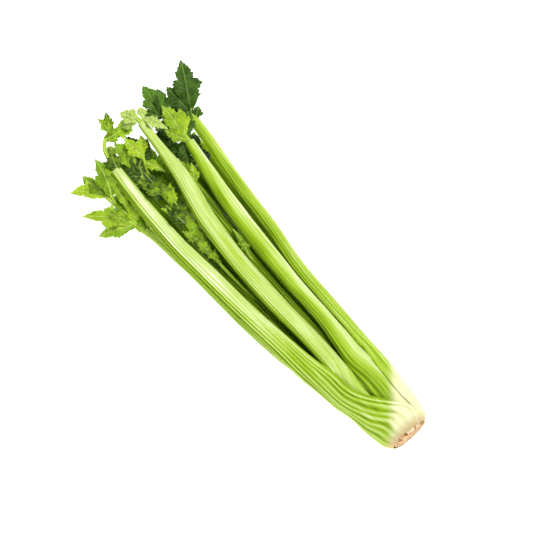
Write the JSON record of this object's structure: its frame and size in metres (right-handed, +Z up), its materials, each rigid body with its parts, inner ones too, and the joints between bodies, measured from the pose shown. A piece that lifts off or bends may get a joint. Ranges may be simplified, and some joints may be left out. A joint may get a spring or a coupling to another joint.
{
  "type": "head of celery",
  "caption": "Whole head of celery lying on its side: a cut butt, ribbed C-section stalks that clasp each other, and toothed leafy tops.",
  "frame": {"origin": "middle of the bounding box, at the surface the head lies on", "axes": "+X along the head from the cut butt to the leaf tips, +Z up from the surface"},
  "size_m": [0.3848, 0.1528, 0.0588],
  "materials": {
    "butt": "cut stem plate, dry tan scar with brown striations",
    "stalk": "fresh ribbed celery skin, satin, cream at the foot and green above",
    "heart": "pale inner celery skin, satin",
    "leaf_bright": "young yellow-green leaf, satin",
    "leaf_mid": "fresh green leaf, satin",
    "leaf_dark": "dark green leaf, satin"
  },
  "bodies": {
    "root": {"butt": "butt", "stalk_a": "stalk", "stalk_b": "stalk", "stalk_c": "stalk", "stalk_d": "stalk", "stalk_e": "stalk", "stalk_f": "stalk", "stalk_g": "stalk", "stalk_h": "stalk", "stalk_i": "stalk", "stalk_j": "stalk", "stalk_k": "stalk", "heart_1": "heart", "heart_2": "heart", "leaves_e_low": "leaf_bright", "leaves_e_high": "leaf_mid", "leaves_a_top": "leaf_mid", "leaves_f_top": "leaf_mid", "leaves_f_side": "leaf_bright", "leaves_inner": "leaf_mid", "leaves_b_top": "leaf_mid", "leaves_c_top": "leaf_dark", "leaves_c_bright": "leaf_bright", "leaves_d_top": "leaf_dark", "leaves_i_top": "leaf_bright", "leaf_i_low": "leaf_bright", "leaves_g_top": "leaf_mid", "leaves_h_top": "leaf_dark", "leaves_k_top": "leaf_mid", "leaves_heart": "leaf_bright", "leaves_j_top": "leaf_dark"}
  },
  "joints": []
}
